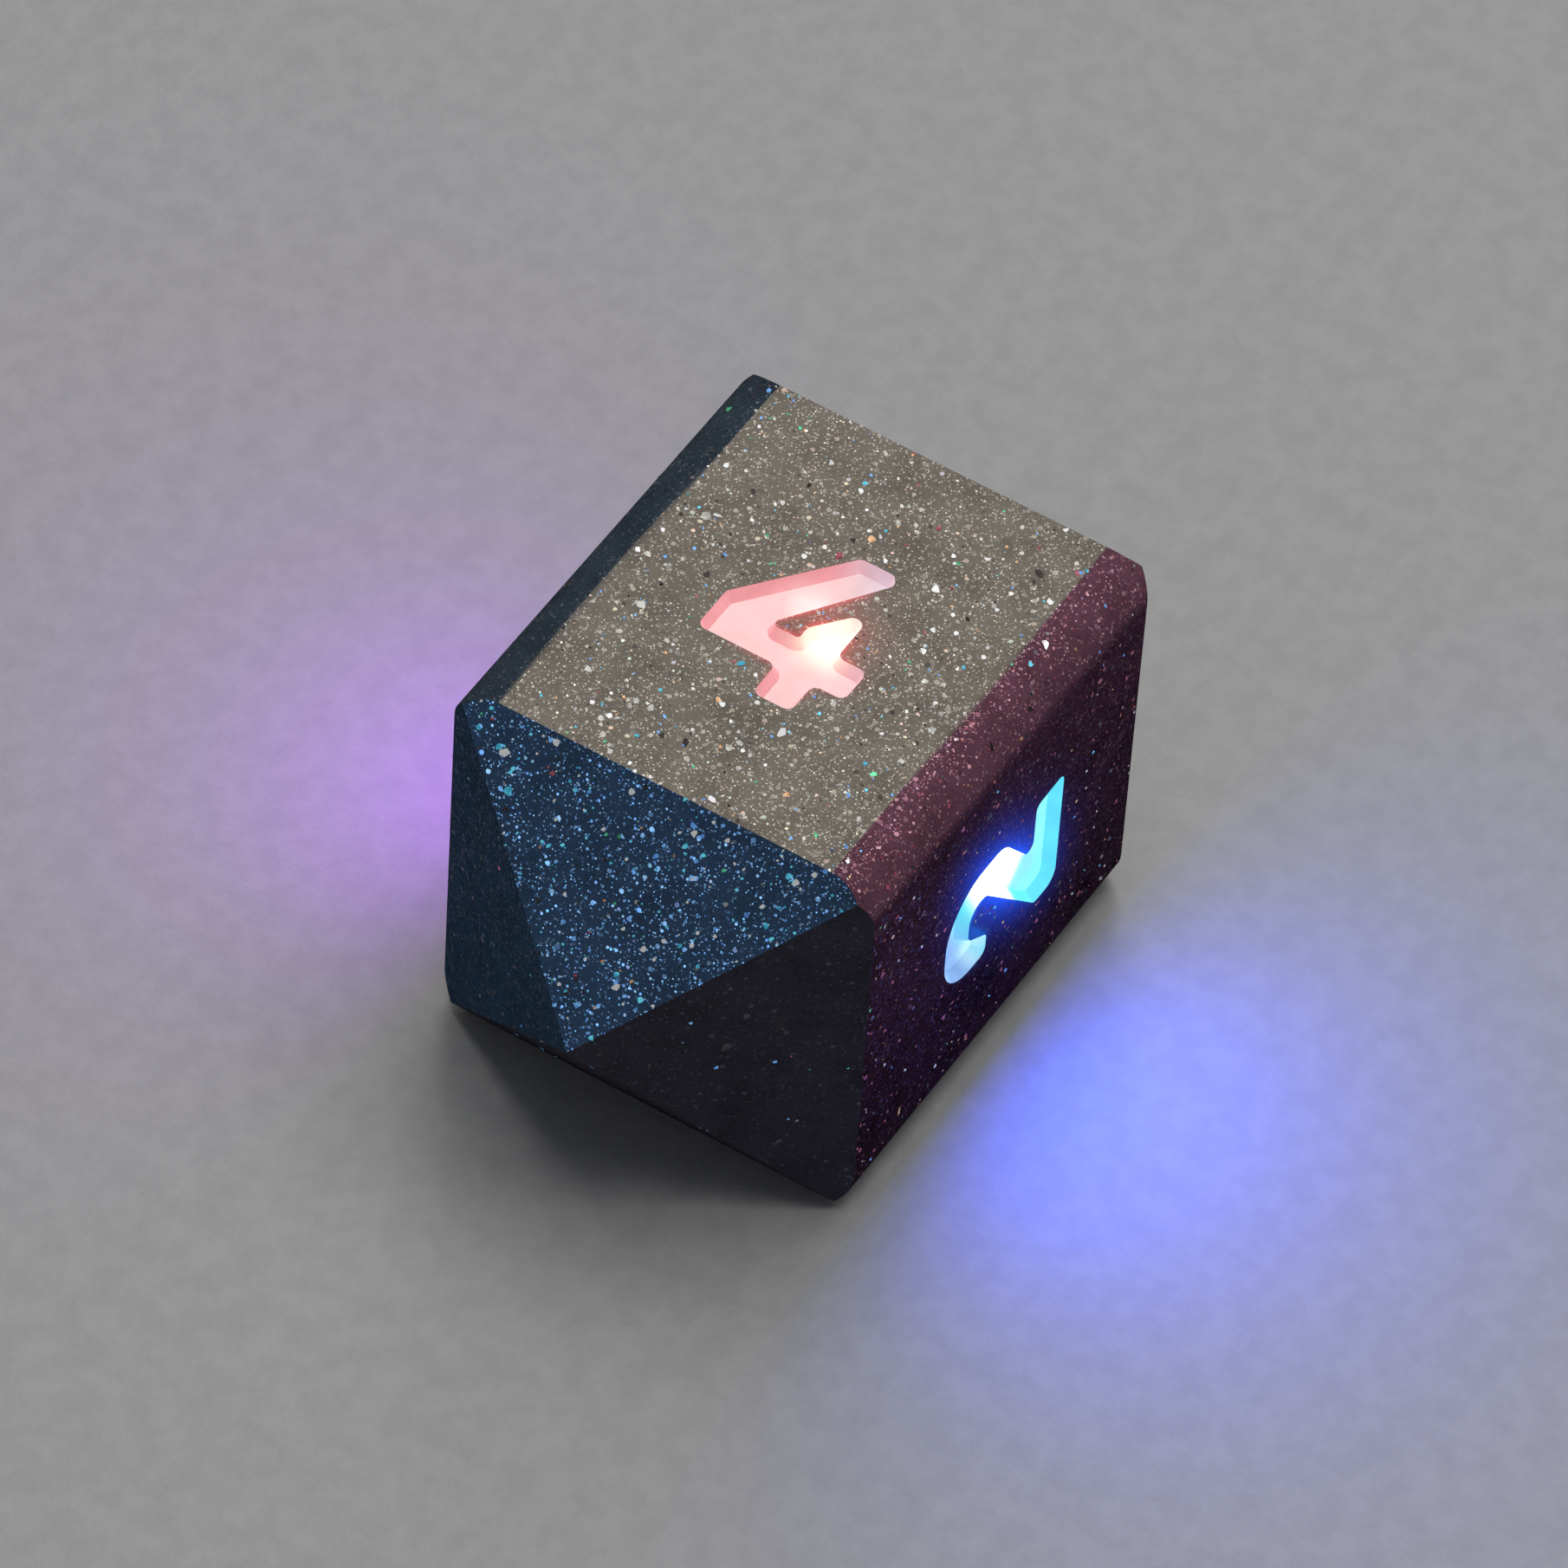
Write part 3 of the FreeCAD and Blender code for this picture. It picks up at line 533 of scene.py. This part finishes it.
# Plain materials: darkest and lightest colour, grains per millimetre, roughness, and where they
# differ from none and a hundredth of a millimetre, how metallic they are and how deep the grain.
PLAIN_LOOKS = {
    "clear_resin": ((0.70, 0.73, 0.76), (0.84, 0.86, 0.88), 0.6, 0.10),
    "flexible_film": ((0.42, 0.18, 0.02), (0.66, 0.34, 0.06), 2.0, 0.24),
    "lamp_housing": ((0.78, 0.78, 0.74), (0.90, 0.90, 0.87), 3.0, 0.40),
    "chip_package": ((0.012, 0.012, 0.013), (0.03, 0.03, 0.032), 6.0, 0.48),
    "ferrite": ((0.05, 0.05, 0.055), (0.11, 0.11, 0.115), 4.0, 0.60),
    "plated_metal": ((0.55, 0.55, 0.53), (0.80, 0.80, 0.77), 5.0, 0.26, 1.0),
    "white_ceramic": ((0.72, 0.74, 0.70), (0.88, 0.89, 0.86), 4.0, 0.50),
    "tan_ceramic": ((0.34, 0.20, 0.11), (0.52, 0.36, 0.22), 5.0, 0.50),
    "cell_pouch": ((0.48, 0.49, 0.50), (0.72, 0.73, 0.75), 1.2, 0.34, 0.9, 0.00004),
    "foam": ((0.015, 0.015, 0.015), (0.06, 0.06, 0.06), 7.0, 0.85, 0.0, 0.00005),
    "red_insulation": ((0.42, 0.01, 0.01), (0.62, 0.03, 0.03), 3.0, 0.42),
    "black_insulation": ((0.01, 0.01, 0.01), (0.03, 0.03, 0.03), 3.0, 0.42),
}
MATERIALS = {name: plain_pattern(name, *look) for name, look in PLAIN_LOOKS.items()}
MATERIALS["glitter_resin"] = glitter_resin()
MATERIALS["circuit_board"] = circuit_board()
MATERIALS["copper"] = coil_winding()
for number in FACES:
    MATERIALS[f"numeral_{number}"] = numeral_resin(number)
    MATERIALS[f"lamp_lens_{number}"] = glowing_lens(number)

SLOT_OF_NODE = {part["node"]: part["material_slot"] for part in frame["record"]["subparts"]}
for node_name, piece in frame["nodes"].items():
    for place in piece.material_slots:
        place.material = MATERIALS[SLOT_OF_NODE[node_name]]


# ---------------------------------------------------------------- softened edges

EDGE_ROUNDING = 0.05 * MM


def soften_edges(piece):
    """Round a CAD piece's sharp edges a little, as cast resin has them."""
    weld = piece.modifiers.new("weld", "WELD")
    weld.merge_threshold = 1e-7
    bevel = piece.modifiers.new("soft_edges", "BEVEL")
    bevel.width = EDGE_ROUNDING
    bevel.segments = 3
    bevel.limit_method = "ANGLE"
    bevel.angle_limit = math.radians(18)
    bevel.harden_normals = True


soften_edges(frame["nodes"]["glitter_shell"])
for number in FACES:
    soften_edges(frame["nodes"][f"numeral_{number}"])


# ---------------------------------------------------------------- glitter flakes

# Each kind of flake: its darkest and lightest colour, how strongly it glows as painted glints,
# and its share on the top, on the facets under the top's ends, on the right side with its upper
# edge, and elsewhere. The shares carry painted light: blue flakes on the facets and rose ones on
# the right side for the coloured light there.
FLAKE_KINDS = {
    "pearl": ((0.42, 0.41, 0.38), (0.80, 0.80, 0.76), 0.0, (0.54, 0.05, 0.05, 0.01)),
    "silver": ((0.90, 0.93, 0.96), (1.00, 1.00, 1.00), 0.15, (0.13, 0.12, 0.05, 0.01)),
    "pit": ((0.03, 0.025, 0.025), (0.07, 0.06, 0.06), 0.0, (0.18, 0.06, 0.10, 0.20)),
    "smoke": ((0.05, 0.05, 0.07), (0.12, 0.12, 0.15), 0.0, (0.00, 0.05, 0.20, 0.70)),
    "sky": ((0.10, 0.28, 0.70), (0.24, 0.55, 1.00), 0.35, (0.09, 0.37, 0.02, 0.04)),
    "cyan": ((0.04, 0.36, 0.55), (0.18, 0.80, 1.00), 0.35, (0.03, 0.28, 0.01, 0.01)),
    "green": ((0.05, 0.36, 0.18), (0.15, 0.85, 0.40), 0.20, (0.03, 0.04, 0.01, 0.01)),
    "copper": ((0.50, 0.26, 0.12), (0.95, 0.58, 0.32), 0.20, (0.05, 0.05, 0.06, 0.01)),
    "rose": ((0.30, 0.05, 0.08), (0.58, 0.14, 0.20), 0.12, (0.03, 0.02, 0.50, 0.01)),
}
# How thickly the flakes lie in the same four places.
FLAKE_DENSITY = (1.0, 1.0, 0.55, 0.30)
FLAKE_COUNT = 7000
FLAKE_THICKNESS = 0.010 * MM
FLAKE_CLEARANCE = 0.3 * MM   # no flake lies nearer to the table than this
FLAKE_LEAST, FLAKE_MOST = 0.036, 0.24   # radius in millimetres
FLAKE_RARITY = 27            # how fast flakes get rarer with size, for each millimetre
SILVER_LARGER = 1.25
FLAKE_LIFT = 0.003 * MM      # the middle of a flake's thickness above the skin


def outer_triangles(piece):
    """The shell's outside triangles with normals and running area, that area and its tree."""
    mesh = piece.data
    mesh.calc_loop_triangles()
    points = [vertex.co.copy() for vertex in mesh.vertices]
    corners = [tuple(points[i] for i in triangle.vertices) for triangle in mesh.loop_triangles]
    tree = BVHTree.FromPolygons(points, [tuple(t.vertices) for t in mesh.loop_triangles])
    found, total = [], 0.0
    for (a, b, c), triangle in zip(corners, mesh.loop_triangles):
        normal = triangle.normal.copy()
        middle = (a + b + c) / 3
        if tree.ray_cast(middle + normal * 0.02 * MM, normal)[0] is not None:
            continue
        total += triangle.area
        found.append((total, a, b, c, normal))
    return found, total, tree


def lies_flat(tree, spot, normal, radius):
    """Whether the skin carries on under a flake on all sides, with no edge or recess there."""
    above, reach = 0.05 * MM, 0.12 * MM
    side = normal.orthogonal().normalized()
    other = normal.cross(side)
    for way in (side, other, -side, -other):
        start = spot + way * radius + normal * above
        if tree.ray_cast(start, -normal, reach)[0] is None:
            return False
    return True


def region_of(normal):
    """Which column of FLAKE_KINDS and FLAKE_DENSITY a place on the die takes."""
    on_top = normal.z > 0.998
    on_end = abs(normal.x) > BAR_LIMIT
    on_upper_facet = on_end and normal.z > 0.3
    on_right = not on_end and normal.y > 0.05 and normal.z > -0.2
    if on_top:
        return 0
    if on_upper_facet:
        return 1
    return 2 if on_right else 3


def add_flake(mesh, centre, normal, radius, chance):
    """A thin plate with five to seven uneven corners, leaning a little off the surface."""
    lean = Vector([chance.gauss(0, 0.09) for _ in range(3)])
    up = (normal + lean).normalized()
    side = up.orthogonal().normalized()
    count = chance.randint(5, 7)
    start = chance.uniform(0, math.tau)
    stretch = chance.uniform(0.55, 1.0)
    rings = []
    for level in (-0.5, 0.5):
        ring = []
        for i in range(count):
            angle = start + math.tau * i / count
            reach = radius * (0.85 + 0.15 * math.cos(3.0 * angle + start))
            spoke = side * math.cos(angle) + up.cross(side) * math.sin(angle) * stretch
            ring.append(mesh.verts.new(centre + spoke * reach + up * level * FLAKE_THICKNESS))
        rings.append(ring)
    bottom, top = rings
    mesh.faces.new(top)
    mesh.faces.new(reversed(bottom))
    for i in range(count):
        j = (i + 1) % count
        mesh.faces.new((bottom[i], bottom[j], top[j], top[i]))


def scatter_flakes():
    """Larger flakes cast into the skin of the die, in one piece for each kind."""
    chance = random.Random(4)
    triangles, total, tree = outer_triangles(frame["nodes"]["glitter_shell"])
    areas = [entry[0] for entry in triangles]
    meshes = {name: bmesh.new() for name in FLAKE_KINDS}
    names = list(FLAKE_KINDS)
    for _ in range(FLAKE_COUNT):
        _, a, b, c, normal = triangles[bisect.bisect_left(areas, chance.uniform(0, total))]
        u, v = chance.random(), chance.random()
        if u + v > 1:
            u, v = 1 - u, 1 - v
        spot = a + (b - a) * u + (c - a) * v
        radius = MM * min(FLAKE_LEAST + chance.expovariate(FLAKE_RARITY), FLAKE_MOST)
        region = region_of(normal)
        shares = [FLAKE_KINDS[name][3][region] for name in names]
        kind = chance.choices(names, shares)[0]
        if kind == "silver":
            radius *= SILVER_LARGER
        clear = normal.z > -0.9 and spot.z > FLAKE_CLEARANCE
        if not clear or chance.random() >= FLAKE_DENSITY[region]:
            continue
        if lies_flat(tree, spot, normal, radius):
            add_flake(meshes[kind], spot + normal * FLAKE_LIFT, normal, radius, chance)
    for name, mesh in meshes.items():
        data = bpy.data.meshes.new(f"flakes_{name}")
        mesh.to_mesh(data)
        mesh.free()
        piece = bpy.data.objects.new(f"flakes_{name}", data)
        bpy.context.scene.collection.objects.link(piece)
        data.materials.append(flake_metal(f"flakes_{name}", *FLAKE_KINDS[name][:3]))
        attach(piece, "root")


scatter_flakes()


# ---------------------------------------------------------------- studio

def floor():
    """A plain pale tabletop."""
    bpy.ops.mesh.primitive_plane_add(size=1.6, location=(0, 0, 0))
    table = bpy.context.object
    table.name = "floor"
    shader = Shader("floor")
    tone = shader.between(shader.noise(0.9, 6.0, 0.6), 0.3, 0.7)
    colour = shader.mix(tone, (0.50, 0.50, 0.50), (0.56, 0.56, 0.555))
    shader.set(Base_Color=colour, Roughness=0.55)
    shader.bump(shader.noise(4.0, 4.0, 0.6), 0.00006, 0.6)
    table.data.materials.append(shader.material)


def soft_light(name, azimuth, elevation, distance, width, height, power, colour=(1, 1, 1)):
    """A soft panel that looks at the die."""
    data = bpy.data.lights.new(name, "AREA")
    data.shape = "RECTANGLE"
    data.size = width
    data.size_y = height
    data.energy = power
    data.color = colour
    lamp = bpy.data.objects.new(name, data)
    bpy.context.scene.collection.objects.link(lamp)
    a, e = math.radians(azimuth), math.radians(elevation)
    towards = Vector((math.cos(a) * math.cos(e), math.sin(a) * math.cos(e), math.sin(e)))
    lamp.location = MIDDLE + towards * distance
    lamp.rotation_euler = towards.to_track_quat("Z", "Y").to_euler()


def lamp_spill(number, power, colour):
    """Light that a numeral throws past the die, on to the table."""
    outwards, _, _ = FACES[number]
    data = bpy.data.lights.new(f"spill_{number}", "AREA")
    data.size = 0.8 * NUMERAL_HEIGHT
    data.energy = power
    data.color = colour
    glow = bpy.data.objects.new(f"spill_{number}", data)
    bpy.context.scene.collection.objects.link(glow)
    glow.location = MIDDLE + outwards * (HALF + 0.3 * MM)
    glow.rotation_euler = (-outwards).to_track_quat("Z", "Y").to_euler()
    glow.visible_camera = False
    glow.visible_glossy = False


def studio():
    """The floor, two soft panels, the numerals' light on the floor and a dim even sky."""
    floor()
    soft_light("strip_panel", azimuth=209.1, elevation=49.1, distance=0.60, width=0.16,
               height=0.60, power=0.5, colour=(1.0, 0.94, 0.87))
    soft_light("top_panel", azimuth=150, elevation=78, distance=0.70, width=0.60,
               height=0.60, power=2.2)
    lamp_spill(2, 0.0042, (0.01, 0.07, 1.0))
    lamp_spill(3, 0.0020, (0.40, 0.04, 1.0))
    world = bpy.data.worlds.new("studio")
    bpy.context.scene.world = world
    world.use_nodes = True
    background = world.node_tree.nodes["Background"]
    background.inputs["Color"].default_value = (0.80, 0.84, 0.90, 1)
    background.inputs["Strength"].default_value = 0.12
    bpy.context.scene.view_settings.view_transform = "Standard"


def camera():
    """A long lens looking down on the die, turned slightly about its own axis."""
    away, lens = 24.5243 * WIDTH, 274.0
    azimuth, elevation, roll = math.radians(29.11), math.radians(49.11), math.radians(4.05)
    data = bpy.data.cameras.new("camera")
    data.lens = lens
    data.sensor_width = 36.0
    eye = bpy.data.objects.new("camera", data)
    bpy.context.scene.collection.objects.link(eye)
    towards = Vector((math.cos(azimuth) * math.cos(elevation),
                      math.sin(azimuth) * math.cos(elevation), math.sin(elevation)))
    aim = MIDDLE + Vector((0.0083, -0.0187, 0.0016)) * WIDTH
    eye.location = aim + towards * away
    turn = towards.to_track_quat("Z", "Y") @ Quaternion(Z, roll)
    eye.rotation_euler = turn.to_euler()
    bpy.context.scene.camera = eye


studio()
camera()
